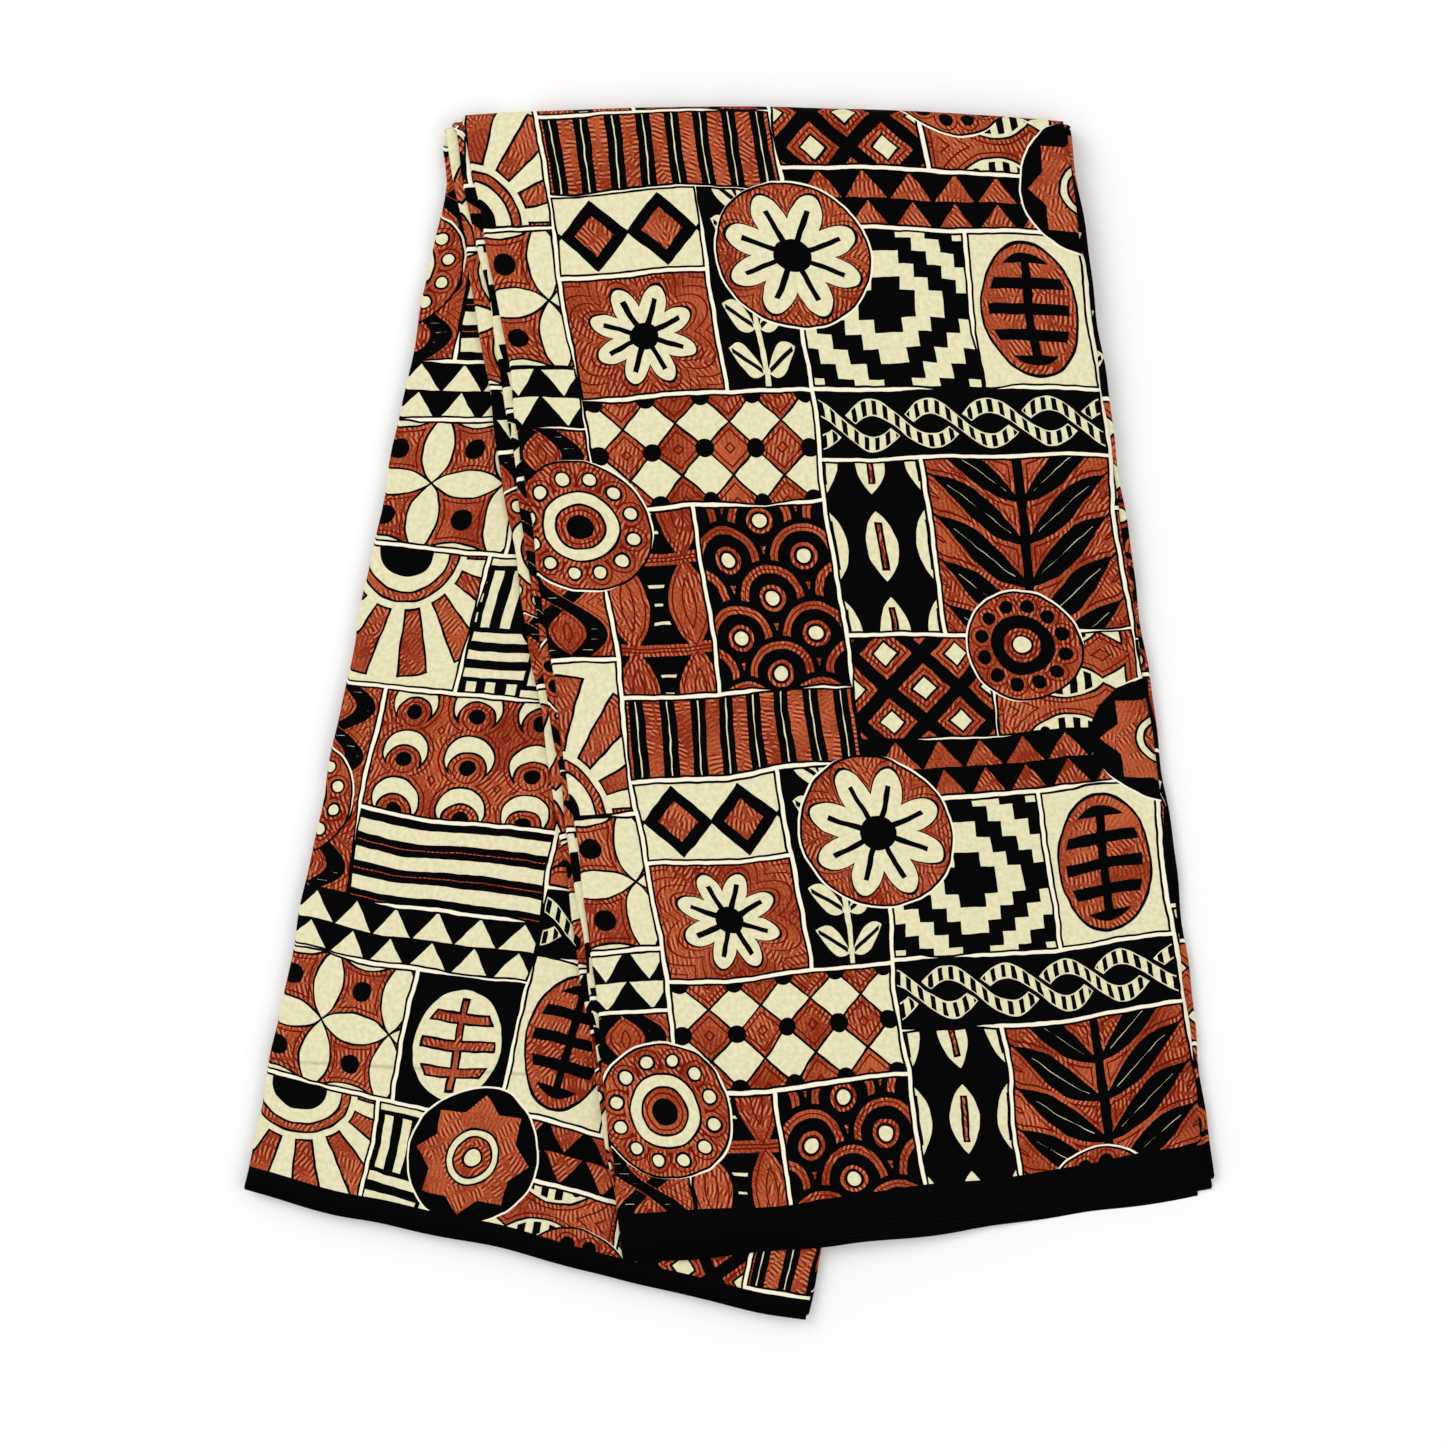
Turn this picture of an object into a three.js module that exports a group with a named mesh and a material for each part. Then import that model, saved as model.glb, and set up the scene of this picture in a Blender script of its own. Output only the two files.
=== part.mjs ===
// A length of wax print cotton, folded as it is sold. Its layers run back and forth across one panel's width, and
// the stack of layers is then doubled over at the top. The front half swings to the right of the back half, rests
// on it and comes down to the surface beyond its side.
// Millimetres. +Z is up, +Y points to the top fold, and the cloth lies on the plane Z = 0.

import * as THREE from "three";

// The cloth
const CLOTH_WIDTH = 1168; // from selvedge to selvedge, which is the length of the doubled strip
const PANEL_WIDTH = 303; // of one layer, from side fold to side fold
const SHEET = 1; // thickness of the cloth as a solid
const LAYERS = 6; // in each half
const LAYER_STEP = 1.45; // from the middle of one layer to the middle of the next
const INNER_HEIGHT = 1.2; // of the innermost layer, from the plane between the two halves
const OUTER_HEIGHT = INNER_HEIGHT + (LAYERS - 1) * LAYER_STEP;
const MIDDLE = OUTER_HEIGHT + SHEET / 2; // height of the plane between the two halves
const COLOUR = 0x8a5f42;

// The top fold
const TOP_FOLD = { x: 17.05, y: 303.5, tilt: -0.5, width: 310, crown: 6 };

// The two halves. A half swings away from straight down. Its hem slants and sags, and is drawn up a little at the
// middle by its lift. Its stagger is its share of the way that each further layer loses around the top fold.
const FRONT_LENGTH = 573.8;
const FRONT = { length: FRONT_LENGTH, swing: 8.1, slant: 6.6, width: PANEL_WIDTH, sag: 5, lift: 1, stagger: 0.5 };
const BACK_LENGTH = CLOTH_WIDTH - FRONT_LENGTH - Math.PI * INNER_HEIGHT + (2 * TOP_FOLD.crown) / 3;
const BACK = { length: BACK_LENGTH, swing: -11.8, slant: -13.1, width: 295, sag: 3.5, lift: 4.5, stagger: 0.5 };
const LIFT_PLACE = 0.48; // share of the hem's width
const LIFT_SPREAD = 0.14;

// Each cut end and side fold, in the order in which the cloth runs from the innermost layer to the outermost: how
// far it reaches past its side of the panel at the front hem, at two stations on the way up, at the top fold and
// along the back half.
const SIDES = [
  { side: "right", hem: -7, lower: -5, upper: -4, top: -4, back: 0.2 },
  { side: "left", hem: 1, lower: 1.5, upper: 4.5, top: 6.5, back: 0.9 },
  { side: "right", hem: 0.5, lower: 3.5, upper: 2, top: 1.5, back: -0.2 },
  { side: "left", hem: 0, lower: -2.5, upper: -3, top: 2, back: -3 },
  { side: "right", hem: 1.5, lower: 4.6, upper: 3, top: 2.5, back: -2 },
  { side: "left", hem: 0, lower: -6.5, upper: -7.5, top: -3, back: -5 },
  { side: "right", hem: -1, lower: 2.4, upper: 1, top: 0.5, back: -4 },
];
const LOWER_STATION = 0.33; // share of the way from the front hem to the top
const UPPER_STATION = 0.8;
const BACK_STATION = 0.05; // share of the way from the top to the back hem

// Where the front half leaves the side of the back half, it comes down to the surface
const DROP = OUTER_HEIGHT + INNER_HEIGHT;
const DROP_START = 4; // past the side of the back half
const DROP_RUN = 125;

// Soft waves, which grow with the height above the surface
const WAVES = [
  { rise: 0.03, acrossCycle: 260, alongCycle: 900, phase: 0.6 },
  { rise: 0.02, acrossCycle: -420, alongCycle: 310, phase: 2.1 },
];

// Steps of the mesh
const LAYER_STEPS = 7;
const SIDE_FOLD_STEPS = 3;
const FRONT_STEPS = 14;
const TOP_STEPS = 6;
const BACK_STEPS = 12;

const radians = THREE.MathUtils.degToRad;
const mix = THREE.MathUtils.lerp;

function direction(degrees) {
  return new THREE.Vector2(Math.cos(radians(degrees)), Math.sin(radians(degrees)));
}

const FOLD_LINE = direction(TOP_FOLD.tilt);
const OVER_THE_TOP = direction(TOP_FOLD.tilt + 90);
const DRIFT = -Math.tan(radians(FRONT.swing + TOP_FOLD.tilt)); // sideways, for each step over the top fold

// A point of the top fold's line, at a share of its width
function onFoldLine(share) {
  const along = (share - 0.5) * TOP_FOLD.width;
  const crown = TOP_FOLD.crown * (4 * share * (1 - share) - 1);
  return new THREE.Vector2(TOP_FOLD.x, TOP_FOLD.y)
    .addScaledVector(FOLD_LINE, along)
    .addScaledVector(OVER_THE_TOP, crown);
}

// A point of a half's hem, at a share of its width, for the layer at this height
function onHem(half, share, height) {
  const down = direction(half.swing - 90);
  const shorter = half.stagger * Math.PI * (height - INNER_HEIGHT);
  const sag = half.sag * 4 * share * (1 - share);
  const lift = half.lift * Math.exp(-(((share - LIFT_PLACE) / LIFT_SPREAD) ** 2));
  return new THREE.Vector2(TOP_FOLD.x, TOP_FOLD.y)
    .addScaledVector(down, half.length - shorter + sag - lift)
    .addScaledVector(direction(half.slant), (share - 0.5) * half.width);
}

// How far past its side an end or fold reaches. Station 0 is the front hem, 1 to 2 the top and 3 the back hem.
function reachAt(row, station) {
  const ease = (from, to, value) => THREE.MathUtils.smoothstep(value, from, to);
  if (station < LOWER_STATION) return mix(row.hem, row.lower, ease(0, LOWER_STATION, station));
  if (station < UPPER_STATION) return mix(row.lower, row.upper, ease(LOWER_STATION, UPPER_STATION, station));
  if (station < 1) return mix(row.upper, row.top, ease(UPPER_STATION, 1, station));
  return mix(row.top, row.back, ease(2, 2 + BACK_STATION, station));
}

function sidePlace(row, station) {
  const reach = reachAt(row, station);
  return row.side === "left" ? -reach : PANEL_WIDTH + reach;
}

// One layer of a section, from its start to its end, with the sheet's normals
function layerPoints(start, end, height) {
  const point = (step) => ({
    across: mix(start, end, step / LAYER_STEPS),
    height,
    normal: [0, Math.sign(end - start)],
  });
  return Array.from({ length: LAYER_STEPS + 1 }, (_, step) => point(step));
}

// The half turn at a layer's end, up to the next layer, without the points that the two layers hold
function sideFoldPoints(end, height, way) {
  const point = (step) => {
    const turn = (Math.PI * step) / SIDE_FOLD_STEPS;
    return {
      across: end + (way * Math.sin(turn) * LAYER_STEP) / 2,
      height: height + ((1 - Math.cos(turn)) * LAYER_STEP) / 2,
      normal: [-Math.sin(turn), way * Math.cos(turn)],
    };
  };
  return Array.from({ length: SIDE_FOLD_STEPS - 1 }, (_, step) => point(step + 1));
}

// The section across the strip at a station: the middle line of the sheet, from the innermost cut end to the
// outermost, as places across the panel and heights above the plane between the halves
function sectionAt(station) {
  const places = SIDES.map((row) => sidePlace(row, station));
  const section = [];
  for (let layer = 0; layer < LAYERS; layer++) {
    const [start, end] = places.slice(layer, layer + 2);
    const height = INNER_HEIGHT + layer * LAYER_STEP;
    section.push(...layerPoints(start, end, height));
    if (layer < LAYERS - 1) section.push(...sideFoldPoints(end, height, Math.sign(end - start)));
  }
  return section;
}

// How far the front half has come down at a point beside the back half
function dropAt(point) {
  const corner = onHem(BACK, 1, INNER_HEIGHT);
  const upwards = onFoldLine(1).sub(corner).normalize();
  const past = point.clone().sub(corner).dot(new THREE.Vector2(upwards.y, -upwards.x));
  return DROP * THREE.MathUtils.smoothstep(past, DROP_START, DROP_START + DROP_RUN);
}

function waveAt(point) {
  const wave = ({ rise, acrossCycle, alongCycle, phase }) =>
    rise * Math.sin(2 * Math.PI * (point.x / acrossCycle + point.y / alongCycle) + phase);
  return WAVES.reduce((sum, row) => sum + wave(row), 1);
}

// The point of the folded strip that is this far across its panel and this high above the plane between the halves
function onStrip(across, height, station) {
  const share = across / PANEL_WIDTH;
  const fold = onFoldLine(share);
  let point;
  let z;
  if (station <= 1) {
    point = onHem(FRONT, share, height).lerp(fold, station);
    z = MIDDLE + height - dropAt(point);
  } else if (station < 2) {
    const turn = Math.PI * (station - 1);
    point = fold
      .addScaledVector(OVER_THE_TOP, height * Math.sin(turn))
      .addScaledVector(FOLD_LINE, DRIFT * height * turn);
    z = MIDDLE + height * Math.cos(turn);
  } else {
    point = fold
      .addScaledVector(FOLD_LINE, DRIFT * height * Math.PI)
      .lerp(onHem(BACK, share, height), station - 2);
    z = MIDDLE - height;
  }
  return new THREE.Vector3(point.x, point.y, z * waveAt(point));
}

function stations() {
  const part = (steps, from) => Array.from({ length: steps }, (_, step) => from + step / steps);
  return [...part(FRONT_STEPS, 0), ...part(TOP_STEPS, 1), ...part(BACK_STEPS, 2), 3];
}

// Every second layer runs the other way, so its faces are split along their other diagonal to lie alike
function turnDiagonals(sheet, columnSteps) {
  const corners = sheet.index;
  const columnOf = (place) => sheet.attributes.position.getX(corners.getX(place)) + columnSteps / 2;
  for (let first = 0; first < corners.count; first += 6) {
    const layer = Math.floor(columnOf(first) / (LAYER_STEPS + SIDE_FOLD_STEPS));
    if (layer % 2 === 0) continue;
    corners.setX(first + 2, corners.getX(first + 4));
    corners.setX(first + 3, corners.getX(first));
  }
}

// The flat sheet is a thin box, and each of its points is carried to its place in the folds
function foldedSheet() {
  const rows = stations();
  const sections = rows.map(sectionAt);
  const columnSteps = sections[0].length - 1;
  const rowSteps = rows.length - 1;
  const sheet = new THREE.BoxGeometry(columnSteps, rowSteps, SHEET, columnSteps, rowSteps, 1);
  turnDiagonals(sheet, columnSteps);
  const points = sheet.attributes.position;
  for (let index = 0; index < points.count; index++) {
    const column = Math.round(points.getX(index) + columnSteps / 2);
    const row = Math.round(points.getY(index) + rowSteps / 2);
    const { across, height, normal } = sections[row][column];
    const out = points.getZ(index);
    const place = onStrip(across + out * normal[0], height + out * normal[1], rows[row]);
    points.setXYZ(index, place.x, place.y, place.z);
  }
  sheet.computeVertexNormals();
  return sheet;
}

const cloth = new THREE.Mesh(
  foldedSheet(),
  new THREE.MeshStandardMaterial({ color: COLOUR, roughness: 0.85, metalness: 0 }),
);
cloth.name = "folded_cloth";

const foldedFabric = new THREE.Group();
foldedFabric.add(cloth);

export default foldedFabric;
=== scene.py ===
import math

import bpy
import numpy as np
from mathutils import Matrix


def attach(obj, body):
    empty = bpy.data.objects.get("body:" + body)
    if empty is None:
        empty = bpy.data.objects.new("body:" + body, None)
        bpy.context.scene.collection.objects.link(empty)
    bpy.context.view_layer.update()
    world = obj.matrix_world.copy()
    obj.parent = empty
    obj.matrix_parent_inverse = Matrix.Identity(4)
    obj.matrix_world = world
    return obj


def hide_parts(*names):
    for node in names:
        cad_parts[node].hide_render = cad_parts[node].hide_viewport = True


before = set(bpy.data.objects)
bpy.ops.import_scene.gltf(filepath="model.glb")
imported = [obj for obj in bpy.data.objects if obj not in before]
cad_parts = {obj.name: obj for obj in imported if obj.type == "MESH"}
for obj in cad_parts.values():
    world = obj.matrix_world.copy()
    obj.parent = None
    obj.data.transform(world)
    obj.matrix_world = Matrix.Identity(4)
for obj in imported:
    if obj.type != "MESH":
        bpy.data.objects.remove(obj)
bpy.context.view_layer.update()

# The folded cloth, in millimetres: a strip of layers that run back and forth across one panel, which is then
# doubled over at the top
MM = 0.001
CLOTH_WIDTH = 1168  # from selvedge to selvedge, which is the length of the doubled strip
PANEL_WIDTH = 303  # of one layer, from side fold to side fold
SHEET = 0.62  # thickness of the cotton, with the air that its crimp holds
SOLID_SHEET = 1  # thickness of the solid that it stands for
LAYERS = 6  # in each half
LAYER_STEP = 1.45  # from the middle of one layer to the middle of the next
SIDE_FOLD = math.pi * LAYER_STEP / 2  # length of the cloth in a side fold
INNER_HEIGHT = 1.2  # of the innermost layer, from the plane between the halves
OUTER_HEIGHT = INNER_HEIGHT + (LAYERS - 1) * LAYER_STEP
MIDDLE = OUTER_HEIGHT + SOLID_SHEET / 2  # height of the plane between the halves
SETTLE = (SOLID_SHEET - SHEET) / 2  # the thinner sheet comes down to the floor

# The top fold and the two halves. A half swings away from straight down. Its hem slants and sags, and is
# drawn up a little at the middle by its lift. Its stagger is its share of the way that each further layer
# loses around the top fold.
TOP_FOLD = dict(x=17.05, y=303.5, tilt=-0.5, width=310, crown=6)
FRONT_LENGTH = 573.8
BACK_LENGTH = CLOTH_WIDTH - FRONT_LENGTH - math.pi * INNER_HEIGHT + 2 * TOP_FOLD["crown"] / 3
FRONT = dict(length=FRONT_LENGTH, swing=8.1, slant=6.6, width=PANEL_WIDTH, sag=5, lift=1, stagger=0.5)
BACK = dict(length=BACK_LENGTH, swing=-11.8, slant=-13.1, width=295, sag=3.5, lift=4.5, stagger=0.5)
LIFT_PLACE, LIFT_SPREAD = 0.48, 0.14  # shares of the hem's width

# How far each cut end and side fold reaches past its side of the panel at these stations, from the innermost
# to the outermost. Station 0 is the front hem, 1 to 2 the top and 3 the back hem, and past the last of these
# stations nothing changes.
REACH_STATIONS = (0, 0.33, 0.8, 1, 2, 2.05)
REACHES = (
    dict(side="right", reach=(-7, -5, -4, -4, -4, 0.2)),
    dict(side="left", reach=(1, 1.5, 4.5, 6.5, 6.5, 0.9)),
    dict(side="right", reach=(0.5, 3.5, 2, 1.5, 1.5, -0.2)),
    dict(side="left", reach=(0, -2.5, -3, 2, 2, -3)),
    dict(side="right", reach=(1.5, 4.6, 3, 2.5, 2.5, -2)),
    dict(side="left", reach=(0, -6.5, -7.5, -3, -3, -5)),
    dict(side="right", reach=(-1, 2.4, 1, 0.5, 0.5, -4)),
)

# Where the front half leaves the side of the back half, it comes down to the floor
DROP = OUTER_HEIGHT + INNER_HEIGHT
DROP_START = 4  # past the side of the back half
DROP_RUN = 125

# Slow waves of the whole stack, which grow with the height above the floor
WAVES = (
    dict(rise=0.03, x_cycle=260, y_cycle=900, phase=0.6),
    dict(rise=0.02, x_cycle=-420, y_cycle=310, phase=2.1),
)

# Softness that the solid leaves out: of the side folds, of each layer's height, and of the hems
EDGE_WANDER = (dict(rise=0.55, cycle=83, phase=1.3), dict(rise=0.3, cycle=41, phase=2.9))
LAYER_WANDER = (dict(rise=0.13, cycle=118, phase=0.7), dict(rise=0.09, cycle=67, phase=2.2))
HEM_WANDER = (dict(rise=0.7, cycle=131, phase=0.4), dict(rise=0.35, cycle=58, phase=1.9))
LAYER_WANDER_RUN = 170  # how far a layer's waves move across it from one station to the next
LAYER_TURN = 1.7  # how far they are turned on from one layer to the next

# Pressed creases across the back half
CREASES = (dict(start=(-238, -179), end=(-86, -187), depth=0.8, half_width=0.8),)
CREASE_FADE = 1 / 8  # share of a crease's length over which each of its ends fades
CREASED_STATIONS = (2.838, 2.883)  # where the rows of the mesh lie closer, across the crease

# Steps of the mesh
OUTSIDE_STEPS = 70  # across a layer that shows
HIDDEN_STEPS = 12
SIDE_FOLD_STEPS = 6
FRONT_STEPS = 82
TOP_STEPS = 12
BACK_STEPS = 64
CREASED_STEPS = 56

# The layout for baking, as shares of its width or height
BAKE_SIDES = ((0, 0.93), (0.94, 0.985))  # across the layout, of the side that shows and of the other
BAKE_SHOWN_LAYER = 0.46
BAKE_HIDDEN_LAYER = 0.02
BAKE_FOLD_STEP = 0.002  # of a step of a side fold
BAKE_TOP = 0.05  # of the top fold, as a share of a half
BAKE_LONG_HALF, BAKE_SHORT_HALF = 0.77, 0.19  # of the half where a layer shows, and of the other
BAKE_MARGIN = 0.005
BAKE_RIM_CORNER = (0.99, 0.01)
BAKE_RIM_SIZE = (0.004, 0.98)

# Floor, light and camera, in metres and watts
FLOOR_HALF = 14
FLOOR_GAP = 0.05 * MM  # so that the floor and the cloth's underside aren't one plane
FLOOR_WHITE, FLOOR_ROUGHNESS, FLOOR_GLOSS = 0.96, 0.9, 0.1
WINDOWS = (
    dict(name="window_left", place=(-1.6, 1.2, 2.6), size=2.2, power=34),
    dict(name="window_right", place=(1.8, -0.6, 2.8), size=2.2, power=18),
)
ROOM_LIGHT = 0.72
PICTURE_WIDTH = 744 * MM
PICTURE_CENTRE = (-3.65 * MM, -4.7 * MM)
LENS, SENSOR = 100, 36  # millimetres


def direction(degrees):
    return np.array((math.cos(math.radians(degrees)), math.sin(math.radians(degrees))))


FOLD_CENTRE = np.array((TOP_FOLD["x"], TOP_FOLD["y"]))
FOLD_LINE = direction(TOP_FOLD["tilt"])
OVER_THE_TOP = direction(TOP_FOLD["tilt"] + 90)
DRIFT = -math.tan(math.radians(FRONT["swing"] + TOP_FOLD["tilt"]))  # sideways, with each step over the top


def smooth(value):
    value = np.clip(value, 0, 1)
    return value * value * (3 - 2 * value)


def wander(rows, place, turn):
    """A sum of slow waves along a place, each turned on so that no two edges are alike."""
    return sum(
        row["rise"] * np.sin(2 * np.pi * place / row["cycle"] + row["phase"] * (1 + turn))
        for row in rows
    )


def on_fold_line(share):
    """The point of the top fold's line at a share of its width."""
    along = (share - 0.5) * TOP_FOLD["width"]
    crown = TOP_FOLD["crown"] * (4 * share * (1 - share) - 1)
    return FOLD_CENTRE + along[..., None] * FOLD_LINE + crown[..., None] * OVER_THE_TOP


def half_length(half, height):
    return half["length"] - half["stagger"] * math.pi * (height - INNER_HEIGHT)


def on_hem(half, share, height):
    """The point of a half's hem at a share of its width, for the layer at this height."""
    reach = half_length(half, height) + half["sag"] * 4 * share * (1 - share)
    reach = reach - half["lift"] * np.exp(-(((share - LIFT_PLACE) / LIFT_SPREAD) ** 2))
    reach = reach + wander(HEM_WANDER, share * half["width"], height)
    across = (share - 0.5) * half["width"]
    down = direction(half["swing"] - 90)
    return FOLD_CENTRE + reach[..., None] * down + across[..., None] * direction(half["slant"])


def drop_at(points):
    """How far the front half has come down at points beside the back half."""
    share, height = np.array(1.0), np.array(INNER_HEIGHT)
    corner = on_hem(BACK, share, height)
    upwards = on_fold_line(share) - corner
    upwards /= np.linalg.norm(upwards)
    past = (points - corner) @ np.array((upwards[1], -upwards[0]))
    return DROP * smooth((past - DROP_START) / DROP_RUN)


def crease_at(points, height):
    """How far the creases press the cloth down, less the lower it lies."""
    depth = np.zeros(points.shape[:-1])
    for crease in CREASES:
        start, end = np.array(crease["start"]), np.array(crease["end"])
        run = end - start
        share = (points - start) @ run / (run @ run)
        off = np.linalg.norm(points - start - share[..., None] * run, axis=-1)
        ends = smooth(share / CREASE_FADE) * smooth((1 - share) / CREASE_FADE)
        depth += crease["depth"] * ends * np.exp(-((off / crease["half_width"]) ** 2))
    return depth * np.clip(height / MIDDLE, 0, 1)


def wave_at(points):
    """What the slow waves multiply the height by."""
    height = 1
    for row in WAVES:
        turn = points[..., 0] / row["x_cycle"] + points[..., 1] / row["y_cycle"]
        height = height + row["rise"] * np.sin(2 * np.pi * turn + row["phase"])
    return height


def on_strip(across, height, station):
    """The point of the strip this far across its panel and this high above the plane between the halves."""
    share = across / PANEL_WIDTH
    fold = on_fold_line(share)
    turn = np.pi * np.clip(station - 1, 0, 1)
    over = fold + (height * np.sin(turn))[..., None] * OVER_THE_TOP
    over = over + (DRIFT * height * turn)[..., None] * FOLD_LINE
    front = np.clip(1 - station, 0, 1)[..., None]
    back = np.clip(station - 2, 0, 1)[..., None]
    plan = over + front * (on_hem(FRONT, share, height) - fold)
    plan = plan + back * (on_hem(BACK, share, height) - over)
    up = MIDDLE + height * np.cos(turn) - np.where(station <= 1, drop_at(plan), 0)
    up = up * wave_at(plan) - SETTLE
    up = up - np.where(station >= 2, crease_at(plan, up), 0)
    return np.concatenate((plan, up[..., None]), axis=-1)


def strip_stations():
    front = np.linspace(0, 1, FRONT_STEPS, endpoint=False)
    top = np.linspace(1, 2, TOP_STEPS, endpoint=False)
    creased = np.linspace(*CREASED_STATIONS, CREASED_STEPS)
    back = np.linspace(2, 3, BACK_STEPS + 1)
    plain = back[(back < creased[0]) | (back > creased[-1])]
    return np.concatenate((front, top, np.sort(np.concatenate((plain, creased)))))


def side_place(index, station):
    """Where an end or side fold lies across the panel at each station."""
    places, reaches = np.array(REACH_STATIONS), np.array(REACHES[index]["reach"])
    after = np.clip(np.searchsorted(places, station), 1, len(places) - 1)
    share = smooth((station - places[after - 1]) / (places[after] - places[after - 1]))
    reach = reaches[after - 1] * (1 - share) + reaches[after] * share
    reach = reach + wander(EDGE_WANDER, station * FRONT_LENGTH, index)
    return -reach if REACHES[index]["side"] == "left" else PANEL_WIDTH + reach


def layer_height(layer, across, station):
    """How high a layer lies above the plane between the halves."""
    place = across + station * LAYER_WANDER_RUN
    return INNER_HEIGHT + layer * LAYER_STEP + wander(LAYER_WANDER, place, layer * LAYER_TURN)


def section(station):
    """The sheet's middle line across the strip, from the inner cut end to the outer: for each column of the
    mesh its places across and its heights at the stations, the sheet's normal, and the layer's number, with a
    half more in a side fold."""
    columns = []
    for layer in range(LAYERS):
        start, end = side_place(layer, station), side_place(layer + 1, station)
        way = 1 if layer % 2 else -1
        step_count = OUTSIDE_STEPS if layer in (0, LAYERS - 1) else HIDDEN_STEPS
        for step in range(step_count + 1):
            across = start + (end - start) * (step / step_count)
            columns.append((across, layer_height(layer, across, station), 0, way, layer))
        if layer == LAYERS - 1:
            break
        low, high = layer_height(layer, end, station), layer_height(layer + 1, end, station)
        for step in range(1, SIDE_FOLD_STEPS):
            turn = math.pi * step / SIDE_FOLD_STEPS
            across = end + way * math.sin(turn) * LAYER_STEP / 2
            height = low + (high - low) * (1 - math.cos(turn)) / 2
            columns.append((across, height, -math.sin(turn), way * math.cos(turn), layer + 0.5))
    across, height, normal_across, normal_height, number = zip(*columns)
    normal = (np.array(normal_across), np.array(normal_height))
    return np.stack(across, axis=1), np.stack(height, axis=1), normal, np.array(number)


def flat_places(across, height, number, station):
    """Where each point of the folds lies on the flat cloth: the distance from the outer cut end, and from the
    front selvedge. The two outside layers keep the print straight on the panel, and the layers between take
    up the rest."""
    lengths = np.hypot(np.diff(across, axis=1), np.diff(height, axis=1))
    from_inner = np.concatenate((np.zeros((len(across), 1)), np.cumsum(lengths, axis=1)), axis=1)
    inner = np.flatnonzero(number == 0)[-1]
    outer = np.flatnonzero(number == LAYERS - 1)[0]
    on_outer = PANEL_WIDTH - across
    on_inner = (LAYERS - 1) * (PANEL_WIDTH + SIDE_FOLD) + across
    share = (from_inner - from_inner[:, [inner]]) / (from_inner[:, [outer]] - from_inner[:, [inner]])
    between = on_inner[:, [inner]] * (1 - share) + on_outer[:, [outer]] * share
    column = np.arange(len(number))
    across_flat = np.where(column <= inner, on_inner, np.where(column >= outer, on_outer, between))
    station = station[:, None]
    along_flat = np.clip(station, 0, 1) * half_length(FRONT, height)
    along_flat = along_flat + np.clip(station - 1, 0, 1) * np.pi * height
    along_flat = along_flat + np.clip(station - 2, 0, 1) * half_length(BACK, height)
    return np.stack((across_flat, along_flat), axis=-1)


def side_faces(row_count, column_count):
    """The faces of one side of the sheet, and the points around its edge."""
    row, column = np.meshgrid(np.arange(row_count - 1), np.arange(column_count - 1), indexing="ij")
    first = (row * column_count + column).ravel()
    quads = np.stack((first, first + 1, first + 1 + column_count, first + column_count), axis=1)
    edges = (
        np.arange(column_count),
        np.arange(1, row_count) * column_count + column_count - 1,
        np.arange(column_count - 2, -1, -1) + (row_count - 1) * column_count,
        np.arange(row_count - 2, 0, -1) * column_count,
    )
    return quads, np.concatenate(edges)


def bake_columns(number):
    """Where each column lies across the layout for baking, as a share of its side."""
    shows = (number == 0) | (number == LAYERS - 1)
    room = np.where(shows, BAKE_SHOWN_LAYER / OUTSIDE_STEPS, BAKE_HIDDEN_LAYER / HIDDEN_STEPS)
    room = np.where(number % 1 > 0, BAKE_FOLD_STEP, room)
    across = np.concatenate(((0,), np.cumsum(room[1:])))
    return across / across[-1]


def bake_rows(station):
    """Where each row lies along the layout for baking, in the inner layers and in the outer ones."""
    top = np.clip(station - 1, 0, 1) * BAKE_TOP
    front = np.clip(station, 0, 1) + top
    back = np.clip(station - 2, 0, 1) + top
    inner = BAKE_SHORT_HALF * front + BAKE_LONG_HALF * back
    outer = BAKE_LONG_HALF * front + BAKE_SHORT_HALF * back
    return [BAKE_MARGIN + (1 - 2 * BAKE_MARGIN) * place for place in (inner, outer)]


def bake_layout(quads, rim_count, number, station):
    """A second layout of the faces, for baking, in which what shows has most of the room."""
    row, column = np.divmod(quads, len(number))
    across = bake_columns(number)[column]
    inner, outer = bake_rows(station)
    in_inner_layers = (number[column.min(axis=1)] < (LAYERS - 1) / 2)[:, None]
    along = np.where(in_inner_layers, inner[row], outer[row])
    shown, other = (np.stack((low + (high - low) * across, along), axis=-1) for low, high in BAKE_SIDES)
    step = np.linspace(0, 1, rim_count + 1)
    rim_along = np.stack((step[1:], step[:-1], step[:-1], step[1:]), axis=1)
    rim_across = np.broadcast_to((0, 0, 1, 1), rim_along.shape)
    rim = np.stack((rim_across, rim_along), axis=-1) * BAKE_RIM_SIZE + BAKE_RIM_CORNER
    return np.concatenate((shown, other[:, ::-1], rim))


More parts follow.
